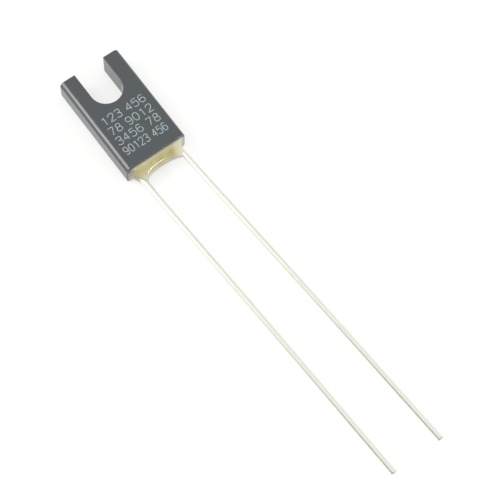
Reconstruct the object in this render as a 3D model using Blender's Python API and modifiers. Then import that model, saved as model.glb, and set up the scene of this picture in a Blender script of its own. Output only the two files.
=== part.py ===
"""Radial-lead thermal fuse in a fork-shaped moulded case.

The case is one moulding: a flat bar with rounded long edges, a screw slot open at the far end and
a blind pocket that opens at the lead end. Two tinned copper leads reach into the pocket, a rod of
low-melting alloy is welded across their inner ends inside a bead of flux, and a plug of epoxy
resin closes the mouth, bulges out of it and climbs the leads.

Frame: metres, +Z up. The back of the case lies on Z = 0, +Y points to the fork's tips and the
leads run along -Y. The origin is the middle of the back face between the slot and the mouth.
"""
import math

import bmesh
import bpy
from mathutils import Matrix, Vector

MM = 0.001

# Case
CASE_WIDTH = 7.5 * MM
CASE_LENGTH = 12.5 * MM
CASE_THICKNESS = 3.1 * MM
LONG_EDGE_RADIUS = 0.6 * MM
SIDE_WALL = 0.45 * MM
FACE_WALL = 0.4 * MM
POCKET_CORNER_RADIUS = 0.3 * MM
END_WEB = 0.9 * MM

# Screw slot
SLOT_WIDTH = 3.7 * MM
SLOT_DEPTH = 5.1 * MM

# Leads: they leave the resin at a slight slant and come down to the bench at their tips
LEAD_DIAMETER = 0.65 * MM
LEAD_TO_SIDE_WALL = 0.325 * MM
LEAD_REACH = 41.8 * MM
LEAD_BEND_REACH = 1.5 * MM
LEFT_TIP_DRIFT = 2.33 * MM
RIGHT_TIP_DRIFT = 3.06 * MM
LEFT_BOW = 0.11 * MM
RIGHT_BOW = 0.03 * MM
TIP_ABOVE_BENCH = 0.01 * MM

# Alloy rod and the flux bead round it
ALLOY_DIAMETER = 0.8 * MM
WELD_DIAMETER = 1.0 * MM
WELD_SPREAD = 0.3 * MM
ALLOY_OVERHANG = 0.42 * MM
ALLOY_END_CAP = 0.3 * MM
FLUX_TO_FACE_WALL = 0.25 * MM
FLUX_TO_POCKET_END = 0.78 * MM
FLUX_END_CAP = 0.45 * MM
FLUX_OVERHANG = 0.16 * MM

# Resin plug: it stops short of the flux, so that the melted alloy can draw apart
AIR_GAP = 1.0 * MM
BULGE_HEIGHT = 1.04 * MM
LEFT_CLIMB = 0.93 * MM
RIGHT_CLIMB = 0.66 * MM
CLIMB_SPREAD = 0.55 * MM
DOME_FULLNESS_ACROSS = 9
DOME_STEEPNESS_ACROSS = 2
DOME_FULLNESS_THROUGH = 2.4
DOME_STEEPNESS_THROUGH = 0.5

# A glue line stands between pieces that touch on the real fuse, so that no two solids share a face
GLUE_LINE = 0.02 * MM

# Facets
CORNER_STEPS = 8
SLOT_STEPS = 40
LEAD_SIDES_RESOLUTION = 4
LEAD_POINT_SPACING = 2.0 * MM
BEND_STEPS = 6
TURNED_STEPS = 28
PROFILE_STEPS = 30
RESIN_COLUMNS = 64
RESIN_ROWS = 26
SMOOTH_ANGLE = math.radians(32)
CUT_MARGIN = 1.0 * MM
MERGE_DISTANCE = 0.0005 * MM

# Places that follow from the sizes
MOUTH_Y = -(CASE_LENGTH - SLOT_DEPTH) / 2
TIP_Y = MOUTH_Y + CASE_LENGTH
SLOT_BOTTOM_Y = TIP_Y - SLOT_DEPTH
POCKET_END_Y = SLOT_BOTTOM_Y - END_WEB
MID_Z = CASE_THICKNESS / 2
POCKET_WIDTH = CASE_WIDTH - 2 * SIDE_WALL
POCKET_HEIGHT = CASE_THICKNESS - 2 * FACE_WALL
LEAD_RADIUS = LEAD_DIAMETER / 2
LEAD_X = POCKET_WIDTH / 2 - LEAD_TO_SIDE_WALL - LEAD_RADIUS
FLUX_RADIUS = POCKET_HEIGHT / 2 - FLUX_TO_FACE_WALL
ALLOY_Y = POCKET_END_Y - FLUX_TO_POCKET_END - FLUX_RADIUS
ALLOY_HALF_LENGTH = LEAD_X + ALLOY_OVERHANG
PLUG_INNER_Y = ALLOY_Y - FLUX_RADIUS - AIR_GAP
LEAD_INNER_Y = ALLOY_Y - WELD_DIAMETER / 2 - GLUE_LINE
LEAD_TIP_Y = MOUTH_Y - LEAD_REACH
LEAD_TIP_Z = LEAD_RADIUS + TIP_ABOVE_BENCH


def clear_scene():
    for obj in list(bpy.data.objects):
        bpy.data.objects.remove(obj, do_unlink=True)


def new_collection(name):
    collection = bpy.data.collections.new(name)
    bpy.context.scene.collection.children.link(collection)
    return collection


def add_object(name, data, collection):
    obj = bpy.data.objects.new(name, data)
    collection.objects.link(obj)
    return obj


# Materials

def linear_colour(hex_colour):
    """An sRGB hex colour as linear RGBA."""
    channels = [int(hex_colour[i:i + 2], 16) / 255 for i in (1, 3, 5)]
    linear = [c / 12.92 if c <= 0.04045 else ((c + 0.055) / 1.055) ** 2.4 for c in channels]
    return (*linear, 1.0)


def finish(obj, name, hex_colour, roughness, metallic=0.0):
    """Give an object its own Principled material and smooth shading between its sharp edges."""
    material = bpy.data.materials.new(name)
    material.use_nodes = True
    shader = material.node_tree.nodes["Principled BSDF"]
    shader.inputs["Base Color"].default_value = linear_colour(hex_colour)
    shader.inputs["Roughness"].default_value = roughness
    shader.inputs["Metallic"].default_value = metallic
    material.diffuse_color = linear_colour(hex_colour)
    obj.data.materials.append(material)
    obj.data.shade_smooth()
    obj.data.set_sharp_from_angle(angle=SMOOTH_ANGLE)


# Outlines and basic solids

def arc(centre, radius, start, end, steps):
    """Points on an arc, both ends included; angles in radians."""
    angles = (start + (end - start) * i / steps for i in range(steps + 1))
    return [(centre[0] + radius * math.cos(a), centre[1] + radius * math.sin(a)) for a in angles]


def rounded_rectangle(width, height, radius):
    """Counter-clockwise outline centred on the origin."""
    x, y = width / 2 - radius, height / 2 - radius
    quarter = math.pi / 2
    corners = ((x, y, 0), (-x, y, 1), (-x, -y, 2), (x, -y, 3))
    points = []
    for cx, cy, turn in corners:
        points += arc((cx, cy), radius, turn * quarter, (turn + 1) * quarter, CORNER_STEPS)
    return points


def curve_as_mesh(curve_object, collection):
    """Replace a curve object with a welded mesh of the same name and place."""
    name = curve_object.name
    evaluated = curve_object.evaluated_get(bpy.context.evaluated_depsgraph_get())
    mesh = bpy.data.meshes.new_from_object(evaluated)
    placed = curve_object.matrix_world.copy()
    bpy.data.objects.remove(curve_object, do_unlink=True)
    work = bmesh.new()
    work.from_mesh(mesh)
    bmesh.ops.remove_doubles(work, verts=work.verts, dist=MERGE_DISTANCE)
    bmesh.ops.recalc_face_normals(work, faces=work.faces)
    work.to_mesh(mesh)
    work.free()
    obj = add_object(name, mesh, collection)
    obj.matrix_world = placed
    return obj


def extruded_outline(name, points, depth, placed, collection):
    """A flat outline extruded by half its depth to each side of its own plane, as a mesh."""
    curve = bpy.data.curves.new(name, "CURVE")
    curve.dimensions = "2D"
    curve.fill_mode = "BOTH"
    curve.extrude = depth / 2
    spline = curve.splines.new("POLY")
    spline.points.add(len(points) - 1)
    for point, (x, y) in zip(spline.points, points):
        point.co = (x, y, 0.0, 1.0)
    spline.use_cyclic_u = True
    obj = add_object(name, curve, collection)
    obj.matrix_world = placed
    bpy.context.view_layer.update()
    return curve_as_mesh(obj, collection)


def section_frame(y):
    """A frame whose local XY plane is the world XZ plane at the given Y."""
    return Matrix.Translation((0.0, y, MID_Z)) @ Matrix.Rotation(math.pi / 2, 4, "X")


def as_cutter(obj):
    obj.hide_render = True
    obj.display_type = "WIRE"
    return obj


def cut(obj, cutter):
    modifier = obj.modifiers.new("cut_" + cutter.name, "BOOLEAN")
    modifier.operation = "DIFFERENCE"
    modifier.solver = "EXACT"
    modifier.object = cutter


# Case

def slot_outline():
    """The U of the screw slot, open past the fork's tips."""
    half = SLOT_WIDTH / 2
    centre_y = SLOT_BOTTOM_Y + half
    bottom = arc((0.0, centre_y), half, math.pi, 2 * math.pi, SLOT_STEPS)
    return [(-half, TIP_Y + CUT_MARGIN)] + bottom + [(half, TIP_Y + CUT_MARGIN)]


def make_case(parts, cutters):
    section = rounded_rectangle(CASE_WIDTH, CASE_THICKNESS, LONG_EDGE_RADIUS)
    middle = section_frame((MOUTH_Y + TIP_Y) / 2)
    case = extruded_outline("case", section, CASE_LENGTH, middle, parts)

    slot_place = Matrix.Translation((0.0, 0.0, MID_Z))
    slot_height = CASE_THICKNESS + 2 * CUT_MARGIN
    slot = extruded_outline("slot_cutter", slot_outline(), slot_height, slot_place, cutters)

    pocket_section = rounded_rectangle(POCKET_WIDTH, POCKET_HEIGHT, POCKET_CORNER_RADIUS)
    pocket_start = MOUTH_Y - CUT_MARGIN
    pocket_place = section_frame((pocket_start + POCKET_END_Y) / 2)
    pocket_depth = POCKET_END_Y - pocket_start
    pocket = extruded_outline("pocket_cutter", pocket_section, pocket_depth, pocket_place, cutters)

    cut(case, as_cutter(slot))
    cut(case, as_cutter(pocket))
    finish(case, "case_plastic", "#5A6266", 0.5)
    return case


# Leads

def lead_path(side):
    """Centreline of a lead from its inner end to its tip; side is -1 (left) or +1 (right)."""
    drift, bow = (LEFT_TIP_DRIFT, LEFT_BOW) if side < 0 else (RIGHT_TIP_DRIFT, RIGHT_BOW)
    root = Vector((side * LEAD_X, MOUTH_Y, MID_Z))
    inner = Vector((root.x, LEAD_INNER_Y, MID_Z))
    tip = Vector((root.x + drift, LEAD_TIP_Y, LEAD_TIP_Z))
    before = root + (inner - root).normalized() * LEAD_BEND_REACH
    run = tip - root
    after = root + run.normalized() * LEAD_BEND_REACH
    points = [inner]
    for i in range(BEND_STEPS + 1):
        t = i / BEND_STEPS
        points.append(before * (1 - t) ** 2 + root * 2 * t * (1 - t) + after * t ** 2)
    free = tip - after
    steps = max(2, round(free.length / LEAD_POINT_SPACING))
    for i in range(1, steps + 1):
        t = i / steps
        points.append(after + free * t + Vector((bow * math.sin(math.pi * t) ** 2, 0.0, 0.0)))
    return points


def tube(name, points, radius, collection):
    """A round wire along the points, with its ends closed."""
    curve = bpy.data.curves.new(name, "CURVE")
    curve.dimensions = "3D"
    curve.bevel_depth = radius
    curve.bevel_resolution = LEAD_SIDES_RESOLUTION
    curve.use_fill_caps = True
    spline = curve.splines.new("POLY")
    spline.points.add(len(points) - 1)
    for point, place in zip(spline.points, points):
        point.co = (*place, 1.0)
    obj = add_object(name, curve, collection)
    bpy.context.view_layer.update()
    return curve_as_mesh(obj, collection)


def make_lead(name, side, parts):
    lead = tube(name, lead_path(side), LEAD_RADIUS, parts)
    finish(lead, name + "_tinned_copper", "#D4D5D1", 0.28, 1.0)
    return lead


def make_lead_cutter(name, side, cutters):
    """The hole that a lead leaves in the resin and in the flux, a glue line wider all round."""
    reach = MOUTH_Y - BULGE_HEIGHT - max(LEFT_CLIMB, RIGHT_CLIMB) - 2 * LEAD_POINT_SPACING
    points = [p for p in lead_path(side) if p.y > reach]
    points[0] = points[0] + Vector((0.0, GLUE_LINE, 0.0))
    return as_cutter(tube(name, points, LEAD_RADIUS + GLUE_LINE, cutters))


# Alloy rod and flux bead

def capped_profile(half_length, cap, radius_at):
    """Profile of a turned bar with rounded ends, from its top to its bottom on the +X side."""
    points = []
    for i in range(PROFILE_STEPS + 1):
        z = half_length * math.cos(math.pi * i / PROFILE_STEPS)
        into_cap = max(0.0, abs(z) - (half_length - cap)) / cap
        round_off = math.sqrt(max(0.0, 1.0 - into_cap ** 2))
        points.append((radius_at(z) * round_off, z))
    return points


def turned_bar(name, profile, collection):
    """A profile turned about the X direction through the alloy's place."""
    mesh = bpy.data.meshes.new(name)
    edges = [(i, i + 1) for i in range(len(profile) - 1)]
    mesh.from_pydata([(r, 0.0, z) for r, z in profile], edges, [])
    obj = add_object(name, mesh, collection)
    screw = obj.modifiers.new("turn", "SCREW")
    screw.axis = "Z"
    screw.steps = TURNED_STEPS
    screw.render_steps = TURNED_STEPS
    screw.use_merge_vertices = True
    screw.merge_threshold = MERGE_DISTANCE
    screw.use_smooth_shade = True
    place = Matrix.Translation((0.0, ALLOY_Y, MID_Z))
    obj.matrix_world = place @ Matrix.Rotation(math.pi / 2, 4, "Y")
    return obj


def alloy_radius(z):
    """The rod is thicker where it is welded to the leads."""
    weld = math.exp(-((abs(z) - LEAD_X) / WELD_SPREAD) ** 2)
    return (ALLOY_DIAMETER + (WELD_DIAMETER - ALLOY_DIAMETER) * weld) / 2


def make_fusible_alloy(parts):
    profile = capped_profile(ALLOY_HALF_LENGTH, ALLOY_END_CAP, alloy_radius)
    alloy = turned_bar("fusible_alloy", profile, parts)
    finish(alloy, "low_melting_alloy", "#9A9C9E", 0.4, 1.0)
    return alloy


def make_flux_coat(lead_cutters, parts, cutters):
    """A bead round the alloy; the tunnel that holds the alloy opens where the leads come in."""
    half_length = ALLOY_HALF_LENGTH + FLUX_OVERHANG
    bead_profile = capped_profile(half_length, FLUX_END_CAP, lambda z: FLUX_RADIUS)
    bead = turned_bar("flux_coat", bead_profile, parts)

    room_profile = capped_profile(ALLOY_HALF_LENGTH + GLUE_LINE, ALLOY_END_CAP + GLUE_LINE,
                                  lambda z: alloy_radius(z) + GLUE_LINE)
    cut(bead, as_cutter(turned_bar("alloy_room_cutter", room_profile, cutters)))
    for cutter in lead_cutters:
        cut(bead, cutter)
    finish(bead, "rosin_flux", "#B98B45", 0.35)
    return bead


# Resin plug

def square_to_rounded(u, v, half_x, half_z, radius):
    """Carry a point of the square -1..1 to a rounded rectangle, grid lines staying in order."""
    x, z = abs(u) * half_x, abs(v) * half_z
    s, t = (x - (half_x - radius)) / radius, (z - (half_z - radius)) / radius
    if s > 0 and t > 0:
        x = half_x - radius + radius * s * math.sqrt(1 - t * t / 2)
        z = half_z - radius + radius * t * math.sqrt(1 - s * s / 2)
    return math.copysign(x, u), math.copysign(z, v)


def dome_edge(share, fullness, steepness):
    """1 in the middle and 0 at the wall. A high fullness keeps the drop near the wall, and a
    steepness under 1 rounds it while one over 1 draws it out into a foot."""
    return max(0.0, 1 - abs(share) ** fullness) ** steepness


def resin_height(u, v, x, z, climbs):
    """How far the resin stands out of the mouth: a flat dome that climbs the two leads."""
    height = BULGE_HEIGHT
    for lead_x, climb in climbs:
        gap = max(0.0, math.hypot(x - lead_x, z) - LEAD_RADIUS)
        height += climb * math.exp(-gap / CLIMB_SPREAD)
    across = dome_edge(u, DOME_FULLNESS_ACROSS, DOME_STEEPNESS_ACROSS)
    return height * across * dome_edge(v, DOME_FULLNESS_THROUGH, DOME_STEEPNESS_THROUGH)


def make_seal_resin(lead_cutters, parts):
    """The outer face is a grid shaped by its formula; its border is extruded into the pocket."""
    half_x = POCKET_WIDTH / 2 - GLUE_LINE
    half_z = POCKET_HEIGHT / 2 - GLUE_LINE
    radius = POCKET_CORNER_RADIUS - GLUE_LINE
    # The leads already lean where the resin climbs them
    leaning = BULGE_HEIGHT / LEAD_REACH
    climbs = ((-LEAD_X + LEFT_TIP_DRIFT * leaning, LEFT_CLIMB),
              (LEAD_X + RIGHT_TIP_DRIFT * leaning, RIGHT_CLIMB))

    work = bmesh.new()
    bmesh.ops.create_grid(work, x_segments=RESIN_COLUMNS, y_segments=RESIN_ROWS, size=1.0)
    for vert in work.verts:
        u, v = (math.sin(max(-1.0, min(1.0, c)) * math.pi / 2) for c in vert.co[:2])
        x, z = square_to_rounded(u, v, half_x, half_z, radius)
        vert.co = (x, MOUTH_Y - resin_height(u, v, x, z, climbs), MID_Z + z)
    border = [edge for edge in work.edges if edge.is_boundary]
    sides = bmesh.ops.extrude_edge_only(work, edges=border)["geom"]
    inner_verts = [item for item in sides if isinstance(item, bmesh.types.BMVert)]
    for vert in inner_verts:
        vert.co.y = PLUG_INNER_Y
    side_edges = [item for item in sides if isinstance(item, bmesh.types.BMEdge)]
    bmesh.ops.contextual_create(work, geom=[edge for edge in side_edges if edge.is_boundary])
    bmesh.ops.recalc_face_normals(work, faces=work.faces)
    mesh = bpy.data.meshes.new("seal_resin")
    work.to_mesh(mesh)
    work.free()
    resin = add_object("seal_resin", mesh, parts)
    for cutter in lead_cutters:
        cut(resin, cutter)
    finish(resin, "epoxy_resin", "#BDB072", 0.2)
    return resin


def build():
    clear_scene()
    parts = new_collection("thermal_fuse")
    cutters = new_collection("cutters")
    make_case(parts, cutters)
    make_lead("lead_left", -1, parts)
    make_lead("lead_right", 1, parts)
    lead_cutters = [make_lead_cutter("left_lead_cutter", -1, cutters),
                    make_lead_cutter("right_lead_cutter", 1, cutters)]
    make_fusible_alloy(parts)
    make_flux_coat(lead_cutters, parts, cutters)
    make_seal_resin(lead_cutters, parts)
    bpy.context.view_layer.update()


build()
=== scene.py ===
"""Radial-lead thermal fuse on a pale bench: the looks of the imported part.

Metres, in the part's own frame: the back of the case lies on Z = 0, +Y points to the fork's tips,
and the two leads run along -Y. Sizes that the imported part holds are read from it, and the others
are named below at their real size.
"""
import math

import bmesh
import bpy
from mathutils import Matrix, Vector


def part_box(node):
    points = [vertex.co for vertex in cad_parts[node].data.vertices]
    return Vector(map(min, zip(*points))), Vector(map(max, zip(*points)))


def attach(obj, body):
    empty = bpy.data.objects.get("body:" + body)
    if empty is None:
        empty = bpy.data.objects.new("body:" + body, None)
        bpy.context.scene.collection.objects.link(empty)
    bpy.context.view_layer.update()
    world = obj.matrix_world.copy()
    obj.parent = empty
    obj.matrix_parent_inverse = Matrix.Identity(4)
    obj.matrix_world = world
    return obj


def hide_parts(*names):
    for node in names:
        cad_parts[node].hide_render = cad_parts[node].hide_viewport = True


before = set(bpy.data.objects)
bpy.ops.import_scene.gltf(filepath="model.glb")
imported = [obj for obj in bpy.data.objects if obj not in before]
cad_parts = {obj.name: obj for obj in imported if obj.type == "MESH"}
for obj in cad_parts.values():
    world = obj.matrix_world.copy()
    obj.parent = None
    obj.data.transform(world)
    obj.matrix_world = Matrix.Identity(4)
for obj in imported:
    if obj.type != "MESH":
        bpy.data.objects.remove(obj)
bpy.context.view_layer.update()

MM = 0.001

# Places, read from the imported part, and the points that the lamps face
CASE_LOW, CASE_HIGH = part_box("case")
RESIN_INNER_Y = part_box("seal_resin")[1].y
MOUTH_Y = CASE_LOW.y
TIP_Y = CASE_HIGH.y
MID_Z = (CASE_LOW.z + CASE_HIGH.z) / 2
FRONT_Z = CASE_HIGH.z
LEAD_TIP_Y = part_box("lead_left")[0].y
BENCH_MIDDLE = Vector((0.0, 0.0, 0.0))
FACE_MIDDLE = Vector((0.0, 0.0, 3.0)) * MM
MOUTH_MIDDLE = Vector((0.0, MOUTH_Y, MID_Z))

# Case
LONG_EDGE_RADIUS = 0.6 * MM
LONG_EDGE_SEGMENTS = 14
EDGE_BREAK = 0.05 * MM
EDGE_BREAK_SEGMENTS = 3
EDGE_BREAK_ANGLE = math.radians(40)
NORMAL_WEIGHT = 50
SIDE_WALL = 0.45 * MM
FACE_WALL = 0.4 * MM
POCKET_CORNER_RADIUS = 0.3 * MM
END_WEB = 0.9 * MM
SLOT_WIDTH = 3.7 * MM
SLOT_DEPTH = 5.1 * MM
SLOT_SIDES = 128
CUT_MARGIN = 1.0 * MM
SMOOTH_ANGLE = math.radians(32)

# Leads
LEAD_RADIUS = 0.325 * MM
LEAD_X = 2.65 * MM
LEAD_SIDES = 32
LEAD_BEND_REACH = 1.5 * MM
LEAD_STEP = 1.5 * MM
BEND_STEPS = 8
CUT_END_BEVEL = 0.05 * MM
CUT_END_SEGMENTS = 3
LEFT_TIP_DRIFT = 2.33 * MM
RIGHT_TIP_DRIFT = 3.06 * MM
LEFT_BOW = 0.05 * MM
RIGHT_BOW = 0.05 * MM
TIP_ABOVE_BENCH = 0.01 * MM

# Resin plug; it wets the pocket's wall, so its sides reach a hair into it. Its dome draws out into
# a foot along the wall but stands fuller behind the left lead, and a film of it has crept over the
# back and side rims of the mouth, with a bead beside that lead.
WALL_WETTING = 0.008 * MM
BULGE_HEIGHT = 1.04 * MM
LEFT_CLIMB = 0.93 * MM
RIGHT_CLIMB = 0.66 * MM
CLIMB_SPREAD = 0.55 * MM
DOME_FULLNESS_ACROSS = 9
DOME_STEEPNESS_ACROSS = 2
DOME_STEEPNESS_UNDER_LEFT = 0.85
DOME_FULLNESS_THROUGH = 2.4
DOME_STEEPNESS_THROUGH = 0.5
FILM_REACH = 0.29 * MM
FILM_THICKNESS = 0.03 * MM
RIM_BEAD = 0.48 * MM
BEAD_SPREAD = 0.45 * MM
RESIN_COLUMNS = 170
RESIN_ROWS = 80

# How much of the resin's amber body shows, from 0, pale film, to 1: it fades where the resin is
# thin. It is also lowered as painted light: painted highlights where the resin stands high and has
# climbed a lead, and painted pale light towards the back, most of all behind the left lead
THIN_RESIN = 0.5 * MM
PAINTED_HIGHLIGHT_FROM = 0.75 * MM
PAINTED_HIGHLIGHT_AT = 1.4 * MM
PAINTED_HIGHLIGHT_SHARE = 0.7
PAINTED_BACK_LIGHT = 0.35
PAINTED_BACK_LIGHT_LEFT = 0.9
PAINTED_BACK_LIGHT_DEPTH = 0.6 * MM

# Places and tones across the mouth: the amber is duller from the middle on and painted paler on the
# right as painted light, and the film lets the dark moulding through at the far left, though
# towards the back it is painted pale as painted light
DULL_FROM_X, DULL_AT_X = -0.8 * MM, -0.2 * MM
LEFT_TONE, MIDDLE_TONE = -0.16, -0.32
RIGHT_FROM_X, RIGHT_AT_X = 1.4 * MM, 2.3 * MM
RIGHT_PAINTED_LIGHT = 0.56
FILM_DARK_X, FILM_PALE_X = -3.5 * MM, -2.8 * MM
FILM_DARK_Z, FILM_PAINTED_LIGHT_Z = 2.3 * MM, 1.5 * MM

# Printed digits, four rows of plain counting numbers; baselines are measured from the mouth.
# Each digit is drawn with a few pen strokes in a cell one wide and one high, and a stroke of more
# than two points is a smooth curve that its points pull outwards.
PRINT_ROWS = (
    ("123 456", 5.58 * MM),
    ("78 9012", 4.18 * MM),
    ("3456 78", 2.83 * MM),
    ("90123 456", 1.45 * MM),
)
DIGIT_STROKES = {
    "0": (((0.5, 1), (0, 1), (0, 0), (1, 0), (1, 1), (0.5, 1)),),
    "1": (((0.2, 0.78), (0.6, 1)), ((0.6, 1), (0.6, 0))),
    "2": (((0, 0.72), (0, 1), (1, 1.04), (1, 0.6), (0.6, 0.38), (0, 0)), ((0, 0), (1, 0))),
    "3": (((0, 0.86), (0.15, 1.02), (1, 1.02), (1, 0.55), (0.35, 0.55)),
          ((0.35, 0.55), (1, 0.55), (1, -0.02), (0.1, -0.02), (0, 0.15))),
    "4": (((0.75, 0), (0.75, 1)), ((0.75, 1), (0, 0.3)), ((0, 0.3), (1, 0.3))),
    "5": (((0.95, 1), (0.1, 1)), ((0.1, 1), (0.05, 0.55)),
          ((0.05, 0.55), (0.3, 0.67), (1, 0.67), (1, -0.02), (0.1, -0.02), (0, 0.15))),
    "6": (((0.9, 0.9), (0.7, 1.02), (0, 1), (0, 0), (1, 0), (1, 0.6), (0, 0.6), (0, 0.3)),),
    "7": (((0, 1), (1, 1)), ((1, 1), (0.35, 0))),
    "8": (((0.5, 0.55), (0.08, 0.55), (0.08, 1), (0.92, 1), (0.92, 0.55), (0.5, 0.55)),
          ((0.5, 0.55), (0, 0.55), (0, 0), (1, 0), (1, 0.55), (0.5, 0.55))),
    "9": (((0.1, 0.1), (0.3, -0.02), (1, 0), (1, 1), (0, 1), (0, 0.4), (1, 0.4), (1, 0.7)),),
}
DIGIT_HEIGHT = 0.92 * MM
DIGIT_GAP_SHARE = 0.3
SPACE_SHARE = 0.55
STROKE_WIDTH = 0.1 * MM
STROKE_STEPS = 8
STROKE_ROUNDNESS = 2
PRINT_LEFT_X = -2.67 * MM
PRINT_RIGHT_X = 2.70 * MM
INK_THICKNESS = 0.012 * MM
MERGE_DISTANCE = 0.001 * MM

# Camera: it looks down on the part from the lead end's left
CAMERA_PLACE = Vector((-43.80, -71.12, 176.12)) * MM
CAMERA_AIM = Vector((1.893, -18.03, 1.54)) * MM
CAMERA_ROLL = math.radians(4.72)
CAMERA_LENS = 129.6
SENSOR_WIDTH = 36.0
CAMERA_NEAR, CAMERA_FAR = 0.01, 10.0

# Light: the tent's fill on the object, and what the floor adds for the camera and mirrors
TENT_FILL = 0.45
FLOOR_LIFT = 0.66
FLOOR_RADIUS = 1.5
FLOOR_SIDES = 64
FLOOR_DROP = 0.01 * MM

# Lamps: name, the point that places are measured from, the point it faces, its place and a point
# that its long side runs towards (mm), its length and width (m), its brightness, and whether
# shiny pieces mirror it
SOFTBOXES = (
    # draws the light line on the case's long edge
    ("edge_strip", FACE_MIDDLE, FACE_MIDDLE, (-228.0, 133.0, 229.0), (-328.0, 133.0, 129.0),
     0.30, 0.06, 4.5, True),
    # the main soft light
    ("overhead_softbox", BENCH_MIDDLE, BENCH_MIDDLE, (-40.0, 60.0, 350.0), (100.0, -60.0, 350.0),
     0.55, 0.25, 1.0, False),
    # brightens the wires near the body
    ("wire_panel", BENCH_MIDDLE, FACE_MIDDLE, (-170.0, 165.0, 400.0), (0.0, 165.0, 400.0),
     0.40, 0.25, 0.2, True),
    # low in front; puts the thin glint on the resin
    ("front_strip", MOUTH_MIDDLE, MOUTH_MIDDLE, (148.0, -300.0, 30.0), (248.0, -300.0, 30.0),
     0.164, 0.045, 16.0, True),
    # light the two ends of the mouth
    ("right_softbox", MOUTH_MIDDLE, MOUTH_MIDDLE, (250.0, -90.0, 90.0), (250.0, 10.0, 90.0),
     0.20, 0.15, 2.0, False),
    ("left_softbox", MOUTH_MIDDLE, MOUTH_MIDDLE, (-220.0, -160.0, 90.0), (-220.0, -60.0, 90.0),
     0.20, 0.15, 1.2, False),
)

# Cards that only mirrors see: name, low and high corner (mm), and the brightness at two places
# along Y (mm), as a share of the white round them
FLAGS = (
    ("left_flag", (-101.0, -80.0, 8.0), (-100.0, 34.0, 75.0), (0.27, -34.0), (1.6, 20.0)),
    ("low_left_card", (-101.0, 35.0, 2.0), (-100.0, 90.0, 40.0), (1.9, 35.0), (1.9, 90.0)),
    ("right_flag", (100.0, 0.0, 0.0), (101.0, 55.0, 210.0), (1.0, 0.0), (0.88, 15.0)),
)


# Selection and mesh helpers

def deselect_all():
    for obj in bpy.context.selected_objects:
        obj.select_set(False)


def select_only(obj):
    deselect_all()
    obj.select_set(True)
    bpy.context.view_layer.objects.active = obj


def enter_edit(obj, kind, wanted):
    """Edit mode, with only the verts, edges or faces selected for which wanted(element) is true."""
    select_only(obj)
    bpy.ops.object.mode_set(mode="EDIT")
    bpy.ops.mesh.select_mode(type=kind)
    bpy.ops.mesh.select_all(action="DESELECT")
    work = bmesh.from_edit_mesh(obj.data)
    elements = {"VERT": work.verts, "EDGE": work.edges, "FACE": work.faces}[kind]
    for element in elements:
        element.select_set(wanted(element))
    work.select_flush_mode()
    bmesh.update_edit_mesh(obj.data)


def leave_edit():
    bpy.ops.object.mode_set(mode="OBJECT")


def apply_place(obj):
    select_only(obj)
    bpy.ops.object.transform_apply(location=True, rotation=True, scale=True)


def apply_modifier(obj, kind, **settings):
    select_only(obj)
    modifier = obj.modifiers.new(kind.lower(), kind)
    for name, value in settings.items():
        setattr(modifier, name, value)
    bpy.ops.object.modifier_apply(modifier=modifier.name)


def subtract(obj, cutter):
    apply_modifier(obj, "BOOLEAN", operation="DIFFERENCE", solver="EXACT", object=cutter)
    bpy.data.objects.remove(cutter, do_unlink=True)


def add_block(name, low, high):
    """A cube stretched to the box between two corners."""
    deselect_all()
    bpy.ops.mesh.primitive_cube_add(size=1.0, location=(low + high) / 2)
    block = bpy.context.object
    block.name = name
    block.scale = high - low
    apply_place(block)
    return block


def runs_along_y(edge):
    line = edge.verts[1].co - edge.verts[0].co
    return abs(line.y) > 0.99 * line.length


def round_long_edges(block, radius, segments):
    enter_edit(block, "EDGE", runs_along_y)
    bpy.ops.mesh.bevel(offset=radius, offset_type="OFFSET", segments=segments, profile=0.5)
    leave_edit()


# Materials

# A Mix node's colour sockets, which share their names with its number sockets
MIX_COLOUR_A, MIX_COLOUR_B, MIX_COLOUR_RESULT = 6, 7, 2


def linear_colour(hex_colour):
    """An sRGB hex colour as linear RGBA."""
    channels = [int(hex_colour[i:i + 2], 16) / 255 for i in (1, 3, 5)]
    linear = [c / 12.92 if c <= 0.04045 else ((c + 0.055) / 1.055) ** 2.4 for c in channels]
    return (*linear, 1.0)


def add_node(tree, kind, values=None, links=None, **settings):
    """A node with its settings, its sockets' own values and its incoming links."""
    node = tree.nodes.new(kind)
    for name, value in settings.items():
        setattr(node, name, value)
    for socket, value in (values or {}).items():
        node.inputs[socket].default_value = value
    for socket, source in (links or {}).items():
        tree.links.new(source, node.inputs[socket])
    return node


def new_material(name):
    material = bpy.data.materials.new(name)
    material.use_nodes = True
    tree = material.node_tree
    return material, tree, tree.nodes["Principled BSDF"]


def colour_steps(node, steps):
    """Set a colour ramp's stops from (position, hex colour) pairs."""
    ramp = node.color_ramp
    while len(ramp.elements) < len(steps):
        ramp.elements.new(0.5)
    for element, (position, hex_colour) in zip(ramp.elements, steps):
        element.position = position
        element.color = linear_colour(hex_colour)


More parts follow.
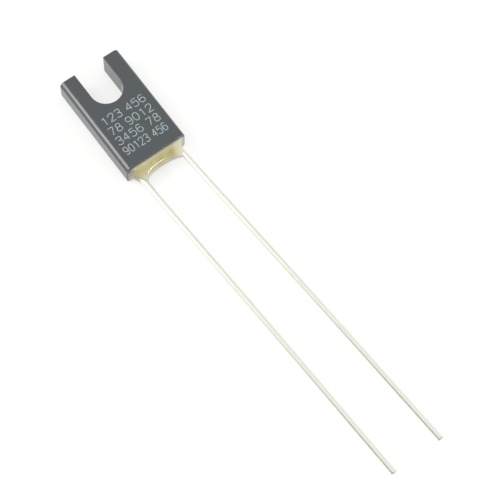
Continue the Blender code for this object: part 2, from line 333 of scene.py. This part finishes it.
def moulded_case_plastic():
    """PPS, injection moulded and lightly polished: dark slate, satin, with faint flow clouds,
    a fine grain that softens highlights, and shallow streaks along the mould's draw."""
    material, tree, shader = new_material("moulded_pps_slate")
    flow_cloud, grain, streak_width = 2.2 * MM, 0.09 * MM, 0.16 * MM
    place = add_node(tree, "ShaderNodeTexCoord").outputs["Object"]
    clouds = add_node(tree, "ShaderNodeTexNoise", {"Scale": 1 / flow_cloud, "Detail": 2.0},
                      {"Vector": place})
    tone = add_node(tree, "ShaderNodeValToRGB", links={"Fac": clouds.outputs["Fac"]})
    colour_steps(tone, ((0.3, "#2F3939"), (0.7, "#343841")))
    drawn_out = add_node(tree, "ShaderNodeMapping", {"Scale": (1.0, 0.06, 1.0)}, {"Vector": place})
    streaks = add_node(tree, "ShaderNodeTexNoise", {"Scale": 1 / streak_width, "Detail": 3.0},
                       {"Vector": drawn_out.outputs["Vector"]})
    polish = add_node(tree, "ShaderNodeMapRange",
                      {"From Min": 0.3, "From Max": 0.7, "To Min": 0.14, "To Max": 0.20},
                      {"Value": streaks.outputs["Fac"]})
    fine = add_node(tree, "ShaderNodeTexNoise", {"Scale": 1 / grain, "Detail": 3.0},
                    {"Vector": place})
    streak_bump = add_node(tree, "ShaderNodeBump", {"Strength": 0.5, "Distance": 0.0006 * MM},
                           {"Height": streaks.outputs["Fac"]})
    bump = add_node(tree, "ShaderNodeBump", {"Strength": 0.5, "Distance": 0.001 * MM},
                    {"Height": fine.outputs["Fac"], "Normal": streak_bump.outputs["Normal"]})
    tree.links.new(tone.outputs["Color"], shader.inputs["Base Color"])
    tree.links.new(polish.outputs["Result"], shader.inputs["Roughness"])
    tree.links.new(bump.outputs["Normal"], shader.inputs["Normal"])
    shader.inputs["IOR"].default_value = 1.8
    return material


def amber_epoxy():
    """Potting epoxy, dispensed and cured in air: a glossy skin over a cloudy amber body that
    lets light travel about half a millimetre. It is duller in the middle and paler where it thins
    out over the rim, and the dark moulding shows through its film at the far left. As painted light
    it is paler on the right, high on the dome and up the leads, where painted highlights stand, and
    towards the back."""
    material, tree, shader = new_material("cast_amber_epoxy")
    cloud, ripple = 1.4 * MM, 0.7 * MM
    place = add_node(tree, "ShaderNodeTexCoord").outputs["Object"]
    clouds = add_node(tree, "ShaderNodeTexNoise", {"Scale": 1 / cloud, "Detail": 3.0},
                      {"Vector": place})
    split = add_node(tree, "ShaderNodeSeparateXYZ", links={"Vector": place})
    dulling = add_node(tree, "ShaderNodeMapRange",
                       {"From Min": DULL_FROM_X, "From Max": DULL_AT_X,
                        "To Min": LEFT_TONE, "To Max": MIDDLE_TONE},
                       {"Value": split.outputs["X"]}, interpolation_type="SMOOTHSTEP")
    # painted light: a paler tone on the right stands in for light from that side
    right_painted_light = add_node(tree, "ShaderNodeMapRange",
                      {"From Min": RIGHT_FROM_X, "From Max": RIGHT_AT_X,
                       "To Min": 0.0, "To Max": RIGHT_PAINTED_LIGHT},
                      {"Value": split.outputs["X"]}, interpolation_type="SMOOTHSTEP")
    across = add_node(tree, "ShaderNodeMath", operation="ADD",
                      links={0: dulling.outputs["Result"], 1: right_painted_light.outputs["Result"]})
    mixed = add_node(tree, "ShaderNodeMath", operation="ADD",
                     links={0: clouds.outputs["Fac"], 1: across.outputs[0]})
    tone = add_node(tree, "ShaderNodeValToRGB", links={"Fac": mixed.outputs[0]})
    colour_steps(tone, ((0.0, "#A59D6C"), (0.2, "#B6AB69"), (0.8, "#DDD8B4")))
    inward = add_node(tree, "ShaderNodeMapRange",
                      {"From Min": FILM_DARK_X, "From Max": FILM_PALE_X},
                      {"Value": split.outputs["X"]})
    # painted light: towards the back the film is painted pale
    painted_light_near_back = add_node(tree, "ShaderNodeMapRange",
                         {"From Min": FILM_DARK_Z, "From Max": FILM_PAINTED_LIGHT_Z},
                         {"Value": split.outputs["Z"]})
    lit = add_node(tree, "ShaderNodeMath", operation="MAXIMUM",
                   links={0: inward.outputs["Result"], 1: painted_light_near_back.outputs["Result"]})
    film = add_node(tree, "ShaderNodeValToRGB", links={"Fac": lit.outputs[0]})
    colour_steps(film, ((0.0, "#62665A"), (1.0, "#DAD7C8")))
    # the amber share carries painted highlights and painted pale light besides the resin's thinness
    body = add_node(tree, "ShaderNodeAttribute", attribute_name="amber_share_with_painted_light")
    depth = add_node(tree, "ShaderNodeMix", None,
                     {0: body.outputs["Fac"], MIX_COLOUR_A: film.outputs["Color"],
                      MIX_COLOUR_B: tone.outputs["Color"]}, data_type="RGBA")
    waves = add_node(tree, "ShaderNodeTexNoise", {"Scale": 1 / ripple, "Detail": 1.0},
                     {"Vector": place})
    bump = add_node(tree, "ShaderNodeBump", {"Strength": 0.5, "Distance": 0.01 * MM},
                    {"Height": waves.outputs["Fac"]})
    tree.links.new(depth.outputs[MIX_COLOUR_RESULT], shader.inputs["Base Color"])
    tree.links.new(bump.outputs["Normal"], shader.inputs["Normal"])
    shader.inputs["Roughness"].default_value = 0.08
    shader.inputs["IOR"].default_value = 1.55
    shader.inputs["Subsurface Weight"].default_value = 0.6
    shader.inputs["Subsurface Radius"].default_value = (1.0, 0.85, 0.35)
    shader.inputs["Subsurface Scale"].default_value = 0.5 * MM
    return material


def tinned_wire():
    """Copper wire, drawn, dipped in tin and cut: a bright, faintly warm mirror with fine die lines
    along its length and slow ripples where the tin ran, and a dull grey face at each cut end."""
    material, tree, shader = new_material("tinned_copper_wire")
    die_line, ripple = 0.05 * MM, 1.4 * MM
    place = add_node(tree, "ShaderNodeTexCoord").outputs["Object"]
    drawn_out = add_node(tree, "ShaderNodeMapping", {"Scale": (1.0, 0.03, 1.0)}, {"Vector": place})
    lines = add_node(tree, "ShaderNodeTexNoise", {"Scale": 1 / die_line, "Detail": 2.0},
                     {"Vector": drawn_out.outputs["Vector"]})
    ripples = add_node(tree, "ShaderNodeTexNoise", {"Scale": 1 / ripple, "Detail": 1.0},
                       {"Vector": place})
    tone = add_node(tree, "ShaderNodeValToRGB", links={"Fac": lines.outputs["Fac"]})
    colour_steps(tone, ((0.3, "#E7E6DB"), (0.7, "#EEEDE4")))
    split = add_node(tree, "ShaderNodeSeparateXYZ", links={"Vector": place})
    cut = add_node(tree, "ShaderNodeMapRange",
                   {"From Min": LEAD_TIP_Y + CUT_END_BEVEL,
                    "From Max": LEAD_TIP_Y + CUT_END_BEVEL / 2},
                   {"Value": split.outputs["Y"]})
    metal = add_node(tree, "ShaderNodeMix", {MIX_COLOUR_B: linear_colour("#8E908C")},
                     {0: cut.outputs["Result"], MIX_COLOUR_A: tone.outputs["Color"]},
                     data_type="RGBA")
    polish = add_node(tree, "ShaderNodeMapRange",
                      {"From Min": 0.3, "From Max": 0.7, "To Min": 0.12, "To Max": 0.24},
                      {"Value": lines.outputs["Fac"]})
    slow = add_node(tree, "ShaderNodeBump", {"Strength": 0.5, "Distance": 0.008 * MM},
                    {"Height": ripples.outputs["Fac"]})
    bump = add_node(tree, "ShaderNodeBump", {"Strength": 0.4, "Distance": 0.001 * MM},
                    {"Height": lines.outputs["Fac"], "Normal": slow.outputs["Normal"]})
    tree.links.new(metal.outputs[MIX_COLOUR_RESULT], shader.inputs["Base Color"])
    tree.links.new(polish.outputs["Result"], shader.inputs["Roughness"])
    tree.links.new(bump.outputs["Normal"], shader.inputs["Normal"])
    shader.inputs["Metallic"].default_value = 1.0
    return material


def marking_ink():
    """Pad-printed ink, a thin matt film of pale blue-grey that lies a little unevenly."""
    material, tree, shader = new_material("pad_printed_ink")
    coverage = 0.12 * MM
    place = add_node(tree, "ShaderNodeTexCoord").outputs["Object"]
    patches = add_node(tree, "ShaderNodeTexNoise", {"Scale": 1 / coverage, "Detail": 2.0},
                       {"Vector": place})
    tone = add_node(tree, "ShaderNodeValToRGB", links={"Fac": patches.outputs["Fac"]})
    colour_steps(tone, ((0.35, "#98A7AB"), (0.65, "#B8C8CD")))
    tree.links.new(tone.outputs["Color"], shader.inputs["Base Color"])
    shader.inputs["Roughness"].default_value = 0.6
    return material


def low_melting_alloy():
    """Cast tin-bismuth rod: dull grey metal with a frosty crystalline skin."""
    material, tree, shader = new_material("cast_tin_bismuth")
    crystal = 0.12 * MM
    place = add_node(tree, "ShaderNodeTexCoord").outputs["Object"]
    crystals = add_node(tree, "ShaderNodeTexVoronoi", {"Scale": 1 / crystal}, {"Vector": place})
    tone = add_node(tree, "ShaderNodeValToRGB", links={"Fac": crystals.outputs["Distance"]})
    colour_steps(tone, ((0.0, "#A9AAAC"), (0.8, "#8E9093")))
    bump = add_node(tree, "ShaderNodeBump", {"Strength": 0.5, "Distance": 0.004 * MM},
                    {"Height": crystals.outputs["Distance"]})
    tree.links.new(tone.outputs["Color"], shader.inputs["Base Color"])
    tree.links.new(bump.outputs["Normal"], shader.inputs["Normal"])
    shader.inputs["Metallic"].default_value = 1.0
    shader.inputs["Roughness"].default_value = 0.42
    return material


def rosin_flux():
    """Rosin flux, melted on: a brittle honey-brown glaze, glossy and slightly wavy."""
    material, tree, shader = new_material("cast_rosin_flux")
    cloud = 0.6 * MM
    place = add_node(tree, "ShaderNodeTexCoord").outputs["Object"]
    clouds = add_node(tree, "ShaderNodeTexNoise", {"Scale": 1 / cloud, "Detail": 2.0},
                      {"Vector": place})
    tone = add_node(tree, "ShaderNodeValToRGB", links={"Fac": clouds.outputs["Fac"]})
    colour_steps(tone, ((0.3, "#A87732"), (0.7, "#C4954C")))
    bump = add_node(tree, "ShaderNodeBump", {"Strength": 0.5, "Distance": 0.02 * MM},
                    {"Height": clouds.outputs["Fac"]})
    tree.links.new(tone.outputs["Color"], shader.inputs["Base Color"])
    tree.links.new(bump.outputs["Normal"], shader.inputs["Normal"])
    shader.inputs["Roughness"].default_value = 0.18
    shader.inputs["IOR"].default_value = 1.54
    return material


# Pieces

def set_piece(obj, material, node=None):
    """Give a finished piece its material, hang it on the root body, and hide the imported node it
    stands for.
    """
    obj.data.materials.clear()
    obj.data.materials.append(material)
    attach(obj, "root")
    if node:
        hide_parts(node)


def make_slot_cutter():
    """A round bar whose far half is drawn out past the fork's tips."""
    bottom_y = TIP_Y - SLOT_DEPTH
    centre_y = bottom_y + SLOT_WIDTH / 2
    deselect_all()
    bpy.ops.mesh.primitive_cylinder_add(vertices=SLOT_SIDES, radius=SLOT_WIDTH / 2,
                                        depth=FRONT_Z + 2 * CUT_MARGIN,
                                        location=(0.0, centre_y, MID_Z))
    cutter = bpy.context.object
    apply_place(cutter)
    enter_edit(cutter, "VERT", lambda vert: vert.co.y > centre_y + EDGE_BREAK)
    bpy.ops.transform.translate(value=(0.0, SLOT_DEPTH, 0.0))
    leave_edit()
    return cutter


def make_pocket_cutter():
    """A rounded block as big as the blind pocket, drawn out past the mouth."""
    low = Vector((CASE_LOW.x + SIDE_WALL, MOUTH_Y - CUT_MARGIN, CASE_LOW.z + FACE_WALL))
    high = Vector((CASE_HIGH.x - SIDE_WALL, TIP_Y - SLOT_DEPTH - END_WEB, FRONT_Z - FACE_WALL))
    cutter = add_block("pocket_cutter", low, high)
    round_long_edges(cutter, POCKET_CORNER_RADIUS, LONG_EDGE_SEGMENTS)
    return cutter


def make_case(material):
    """A block with rounded long edges, cut by the slot and the pocket, then edge-broken."""
    case = add_block("case_moulding", CASE_LOW, CASE_HIGH)
    round_long_edges(case, LONG_EDGE_RADIUS, LONG_EDGE_SEGMENTS)
    subtract(case, make_slot_cutter())
    subtract(case, make_pocket_cutter())
    select_only(case)
    bpy.ops.object.shade_smooth()
    apply_modifier(case, "BEVEL", width=EDGE_BREAK, segments=EDGE_BREAK_SEGMENTS,
                   limit_method="ANGLE", angle_limit=EDGE_BREAK_ANGLE,
                   use_clamp_overlap=False)
    apply_modifier(case, "WEIGHTED_NORMAL", mode="FACE_AREA", weight=NORMAL_WEIGHT,
                   keep_sharp=False)
    set_piece(case, material, "case")
    return case


def lead_path(side):
    """Centreline of a lead from inside the case to its tip; side is -1 (left) or +1 (right)."""
    node = "lead_left" if side < 0 else "lead_right"
    low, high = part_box(node)
    drift, bow = (LEFT_TIP_DRIFT, LEFT_BOW) if side < 0 else (RIGHT_TIP_DRIFT, RIGHT_BOW)
    root = Vector((side * LEAD_X, MOUTH_Y, MID_Z))
    inner = Vector((root.x, high.y, MID_Z))
    tip = Vector((root.x + drift, low.y, LEAD_RADIUS + TIP_ABOVE_BENCH))
    before = root + (inner - root).normalized() * LEAD_BEND_REACH
    after = root + (tip - root).normalized() * LEAD_BEND_REACH
    points = [inner]
    for i in range(BEND_STEPS + 1):
        t = i / BEND_STEPS
        points.append(before * (1 - t) ** 2 + root * 2 * t * (1 - t) + after * t ** 2)
    free = tip - after
    steps = round(free.length / LEAD_STEP)
    for i in range(1, steps + 1):
        t = i / steps
        points.append(after + free * t + Vector((bow * math.sin(math.pi * t) ** 2, 0.0, 0.0)))
    return points


def make_lead(name, side, material):
    """A disc drawn out along the lead's path one step at a time. Its two end faces are the only
    ones with more than four corners, and their rims are bevelled as the cut leaves them."""
    points = lead_path(side)
    deselect_all()
    bpy.ops.mesh.primitive_circle_add(vertices=LEAD_SIDES, radius=LEAD_RADIUS, fill_type="NGON",
                                      location=points[0], rotation=(math.pi / 2, 0.0, 0.0))
    lead = bpy.context.object
    lead.name = name
    apply_place(lead)
    enter_edit(lead, "FACE", lambda face: True)
    for here, there in zip(points, points[1:]):
        bpy.ops.mesh.extrude_region_move(TRANSFORM_OT_translate={"value": there - here})
    leave_edit()
    enter_edit(lead, "FACE", lambda face: True)
    bpy.ops.mesh.normals_make_consistent(inside=False)
    leave_edit()
    enter_edit(lead, "EDGE", lambda edge: any(len(face.verts) > 4 for face in edge.link_faces))
    bpy.ops.mesh.bevel(offset=CUT_END_BEVEL, segments=CUT_END_SEGMENTS)
    leave_edit()
    select_only(lead)
    bpy.ops.object.shade_smooth_by_angle(angle=SMOOTH_ANGLE)
    set_piece(lead, material, "lead_left" if side < 0 else "lead_right")
    return lead


def square_to_rounded(u, v, half_x, half_z, radius):
    """Carry a point of the square -1..1 to a rounded rectangle, grid lines staying in order."""
    x, z = abs(u) * half_x, abs(v) * half_z
    s, t = (x - (half_x - radius)) / radius, (z - (half_z - radius)) / radius
    if s > 0 and t > 0:
        x = half_x - radius + radius * s * math.sqrt(1 - t * t / 2)
        z = half_z - radius + radius * t * math.sqrt(1 - s * s / 2)
    return math.copysign(x, u), math.copysign(z, v)


def clamp(value):
    return min(1.0, max(0.0, value))


def smooth_step(share):
    return share * share * (3 - 2 * share)


def dome_edge(share, fullness, steepness):
    """1 in the middle and 0 at the wall. A high fullness keeps the drop near the wall, and a
    steepness under 1 rounds it while one over 1 draws it out into a foot."""
    return clamp(1 - abs(share) ** fullness) ** steepness


def resin_height(u, v, x, z, climbs):
    """How far the resin stands out of the mouth: a flat dome that climbs the two leads. u and v
    are shares of the way from the middle to the wall, and x and z are measured from it."""
    height = BULGE_HEIGHT
    for lead_x, climb in climbs:
        gap = max(0.0, math.hypot(x - lead_x, z) - LEAD_RADIUS)
        height += climb * math.exp(-gap / CLIMB_SPREAD)
    under_left = smooth_step(clamp(-z / LEAD_RADIUS)) if x < 0 else 0.0
    across = dome_edge(u, DOME_FULLNESS_ACROSS, DOME_STEEPNESS_ACROSS
                       + under_left * (DOME_STEEPNESS_UNDER_LEFT - DOME_STEEPNESS_ACROSS))
    return height * across * dome_edge(v, DOME_FULLNESS_THROUGH, DOME_STEEPNESS_THROUGH)


def film_height(x, below_pocket, lead_x):
    """The film on the rim, with a bead where the resin ran over the back rim beside one lead."""
    beside = math.exp(-((x - lead_x) / BEAD_SPREAD) ** 2)
    rounding = math.sqrt(clamp(1 - (below_pocket / FILM_REACH) ** 2))
    return FILM_THICKNESS + RIM_BEAD * beside * rounding


def make_resin(material):
    """A grid drawn out to the dome and its menisci, with a film over the rim at the back and the
    sides; the border is folded back to the pocket's wall and drawn into the pocket. A sine packs
    the grid's lines towards the border, where the surface turns."""
    half_x = (CASE_HIGH.x - CASE_LOW.x) / 2 - SIDE_WALL + WALL_WETTING
    half_z = (FRONT_Z - CASE_LOW.z) / 2 - FACE_WALL + WALL_WETTING
    film_half_x, film_half_z = half_x + FILM_REACH, half_z + FILM_REACH / 2
    film_centre_z = MID_Z - FILM_REACH / 2
    film_radius = POCKET_CORNER_RADIUS + FILM_REACH
    leaning = BULGE_HEIGHT / (MOUTH_Y - LEAD_TIP_Y)
    climbs = ((-LEAD_X + LEFT_TIP_DRIFT * leaning, LEFT_CLIMB),
              (LEAD_X + RIGHT_TIP_DRIFT * leaning, RIGHT_CLIMB))

    deselect_all()
    bpy.ops.mesh.primitive_grid_add(x_subdivisions=RESIN_COLUMNS, y_subdivisions=RESIN_ROWS,
                                    size=2.0)
    resin = bpy.context.object
    resin.name = "epoxy_seal"
    for vert in resin.data.vertices:
        u, v = (math.sin(max(-1.0, min(1.0, c)) * math.pi / 2) for c in vert.co[:2])
        x, z = square_to_rounded(u, v, film_half_x, film_half_z, film_radius)
        z += film_centre_z
        height = resin_height(min(1.0, abs(x) / half_x), min(1.0, abs(z - MID_Z) / half_z),
                              x, z - MID_Z, climbs)
        film = film_height(x, MID_Z - half_z - z, climbs[0][0])
        vert.co = (x, MOUTH_Y - math.hypot(height, film), z)
    enter_edit(resin, "EDGE", lambda edge: edge.is_boundary)
    bpy.ops.mesh.extrude_region_move(
        TRANSFORM_OT_translate={"value": (0.0, FILM_THICKNESS + WALL_WETTING, 0.0)})
    bpy.ops.mesh.extrude_region_move()
    bpy.ops.transform.translate(value=(0.0, 0.0, MID_Z - film_centre_z))
    bpy.ops.transform.resize(value=(half_x / film_half_x, 1.0, half_z / film_half_z),
                             center_override=(0.0, MOUTH_Y, MID_Z))
    bpy.ops.mesh.extrude_region_move(
        TRANSFORM_OT_translate={"value": (0.0, RESIN_INNER_Y - MOUTH_Y - WALL_WETTING, 0.0)})
    bpy.ops.mesh.edge_face_add()
    bpy.ops.mesh.select_all(action="SELECT")
    bpy.ops.mesh.normals_make_consistent(inside=False)
    leave_edit()
    amber_share_with_painted_light = resin.data.attributes.new("amber_share_with_painted_light", "FLOAT", "POINT")
    for vert, share in zip(resin.data.vertices, amber_share_with_painted_light.data):
        height = MOUTH_Y - vert.co.y
        left = clamp((-LEAD_X + LEAD_RADIUS - vert.co.x) / (2 * LEAD_RADIUS))
        back = smooth_step(clamp((MID_Z - vert.co.z) / PAINTED_BACK_LIGHT_DEPTH))
        # painted light: the share drops where the resin stands high, as painted highlights, and
        # towards the back
        share.value = clamp(height / THIN_RESIN) \
            * (1 - PAINTED_HIGHLIGHT_SHARE * clamp((height - PAINTED_HIGHLIGHT_FROM) / (PAINTED_HIGHLIGHT_AT - PAINTED_HIGHLIGHT_FROM))) \
            * (1 - back * (PAINTED_BACK_LIGHT + left * (PAINTED_BACK_LIGHT_LEFT - PAINTED_BACK_LIGHT)))
    select_only(resin)
    bpy.ops.object.shade_smooth_by_angle(angle=SMOOTH_ANGLE)
    set_piece(resin, material, "seal_resin")
    return resin


def add_stroke(curve, points, corner, width):
    spline = curve.splines.new("NURBS")
    spline.points.add(len(points) - 1)
    for point, (x, y) in zip(spline.points, points):
        point.co = (corner.x + x * width, corner.y + y * DIGIT_HEIGHT, 0.0, 1.0)
    spline.order_u = min(3, len(points))
    spline.use_endpoint_u = True
    spline.resolution_u = STROKE_STEPS


def make_print_row(index, text, baseline, material):
    """One row of digits, drawn with a round pen, made a mesh and flattened to a film of ink."""
    curve = bpy.data.curves.new(f"digits_row_{index}", "CURVE")
    curve.dimensions = "3D"
    curve.bevel_depth = STROKE_WIDTH / 2
    curve.bevel_resolution = STROKE_ROUNDNESS
    curve.use_fill_caps = True
    advances = [SPACE_SHARE if mark == " " else 1.0 for mark in text]
    pitch = (PRINT_RIGHT_X - PRINT_LEFT_X) / (sum(advances) - DIGIT_GAP_SHARE)
    corner = Vector((PRINT_LEFT_X, MOUTH_Y + baseline))
    for mark, advance in zip(text, advances):
        for points in DIGIT_STROKES.get(mark, ()):
            add_stroke(curve, points, corner, pitch * (1 - DIGIT_GAP_SHARE))
        corner.x += pitch * advance
    row = bpy.data.objects.new(curve.name, curve)
    bpy.context.scene.collection.objects.link(row)
    select_only(row)
    bpy.ops.object.convert(target="MESH")
    row = bpy.context.object
    flat = Matrix.Diagonal((1.0, 1.0, 2 * INK_THICKNESS / STROKE_WIDTH, 1.0))
    row.data.transform(Matrix.Translation((0.0, 0.0, FRONT_Z)) @ flat)
    enter_edit(row, "VERT", lambda vert: True)
    bpy.ops.mesh.remove_doubles(threshold=MERGE_DISTANCE)
    bpy.ops.mesh.normals_make_consistent(inside=False)
    leave_edit()
    set_piece(row, material)
    return row


# Studio

def make_floor():
    """A matt white disc; the camera and mirrors see it a touch brighter than it is lit."""
    deselect_all()
    bpy.ops.mesh.primitive_circle_add(vertices=FLOOR_SIDES, radius=FLOOR_RADIUS,
                                      fill_type="NGON", location=(0.0, 0.0, -FLOOR_DROP))
    floor = bpy.context.object
    floor.name = "floor"
    material, tree, shader = new_material("matt_white_card")
    shader.inputs["Base Color"].default_value = linear_colour("#AEAEAC")
    shader.inputs["Roughness"].default_value = 0.9
    shader.inputs["Specular IOR Level"].default_value = 0.0
    shader.inputs["Emission Color"].default_value = (1.0, 1.0, 1.0, 1.0)
    lift = add_node(tree, "ShaderNodeMapRange", {"To Min": 0.0, "To Max": FLOOR_LIFT},
                    {"Value": background_rays(tree)})
    tree.links.new(lift.outputs["Result"], shader.inputs["Emission Strength"])
    floor.data.materials.append(material)


def background_rays(tree):
    """1 for the camera, mirrors and glass, and 0 for light that falls on the object."""
    path = add_node(tree, "ShaderNodeLightPath")
    seen = add_node(tree, "ShaderNodeMath", operation="MAXIMUM",
                    links={0: path.outputs["Is Camera Ray"], 1: path.outputs["Is Glossy Ray"]})
    return add_node(tree, "ShaderNodeMath", operation="MAXIMUM",
                    links={0: seen.outputs[0], 1: path.outputs["Is Transmission Ray"]}).outputs[0]


def make_world():
    """White all round for camera, mirrors and glass, and a softer fill for everything else."""
    world = bpy.data.worlds.new("light_tent")
    bpy.context.scene.world = world
    world.use_nodes = True
    tree = world.node_tree
    tree.nodes.clear()
    strength = add_node(tree, "ShaderNodeMapRange", {"To Min": TENT_FILL, "To Max": 1.0},
                        {"Value": background_rays(tree)})
    background = add_node(tree, "ShaderNodeBackground", {"Color": (1.0, 1.0, 1.0, 1.0)},
                          {"Strength": strength.outputs["Result"]})
    add_node(tree, "ShaderNodeOutputWorld", links={"Surface": background.outputs[0]})


def add_softbox(name, place, aim, length_towards, length, width, brightness, mirrored):
    """A rectangular lamp that faces a point, its long side towards another point; its brightness
    counts a white card in plain light as 1."""
    data = bpy.data.lights.new(name, "AREA")
    data.shape = "RECTANGLE"
    data.size = length
    data.size_y = width
    data.energy = brightness * math.pi * length * width
    lamp = bpy.data.objects.new(name, data)
    bpy.context.scene.collection.objects.link(lamp)
    back = (place - aim).normalized()
    along = length_towards - place
    along = (along - back * along.dot(back)).normalized()
    across = back.cross(along)
    turn = Matrix((along, across, back)).transposed().to_4x4()
    lamp.matrix_world = Matrix.Translation(place) @ turn
    lamp.visible_camera = False
    lamp.visible_glossy = mirrored


def make_lamps():
    for name, origin, aim, place, towards, length, width, brightness, mirrored in SOFTBOXES:
        add_softbox(name, origin + Vector(place) * MM, aim, origin + Vector(towards) * MM,
                    length, width, brightness, mirrored)


def add_flag(name, low, high, start, end):
    """A graded card beside the part, seen only in its mirrors: the wires reflect it as a line. Its
    brightness runs between two values along Y, each given with its place."""
    flag = add_block(name, Vector(low) * MM, Vector(high) * MM)
    material, tree, shader = new_material(name + "_card")
    place = add_node(tree, "ShaderNodeTexCoord").outputs["Object"]
    split = add_node(tree, "ShaderNodeSeparateXYZ", links={"Vector": place})
    grade = add_node(tree, "ShaderNodeMapRange",
                     {"From Min": start[1] * MM, "From Max": end[1] * MM,
                      "To Min": start[0], "To Max": end[0]},
                     {"Value": split.outputs["Y"]})
    shader.inputs["Base Color"].default_value = (0.0, 0.0, 0.0, 1.0)
    shader.inputs["Specular IOR Level"].default_value = 0.0
    shader.inputs["Emission Color"].default_value = (1.0, 1.0, 1.0, 1.0)
    tree.links.new(grade.outputs["Result"], shader.inputs["Emission Strength"])
    flag.data.materials.append(material)
    flag.visible_camera = False
    flag.visible_diffuse = False
    flag.visible_shadow = False


def make_flags():
    for flag in FLAGS:
        add_flag(*flag)


def make_camera():
    data = bpy.data.cameras.new("camera")
    data.lens = CAMERA_LENS
    data.sensor_width = SENSOR_WIDTH
    data.clip_start = CAMERA_NEAR
    data.clip_end = CAMERA_FAR
    camera = bpy.data.objects.new("camera", data)
    bpy.context.scene.collection.objects.link(camera)
    turn = (CAMERA_AIM - CAMERA_PLACE).to_track_quat("-Z", "Y").to_matrix().to_4x4()
    roll = Matrix.Rotation(CAMERA_ROLL, 4, "Z")
    camera.matrix_world = Matrix.Translation(CAMERA_PLACE) @ turn @ roll
    bpy.context.scene.camera = camera


def build():
    bpy.context.scene.view_settings.view_transform = "Standard"
    make_case(moulded_case_plastic())
    wire = tinned_wire()
    make_lead("lead_left_wire", -1, wire)
    make_lead("lead_right_wire", 1, wire)
    make_resin(amber_epoxy())
    ink = marking_ink()
    for index, (text, baseline) in enumerate(PRINT_ROWS, start=1):
        make_print_row(index, text, baseline, ink)
    for node, material in (("fusible_alloy", low_melting_alloy()), ("flux_coat", rosin_flux())):
        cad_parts[node].data.materials.clear()
        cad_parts[node].data.materials.append(material)
    make_floor()
    make_world()
    make_lamps()
    make_flags()
    make_camera()


build()
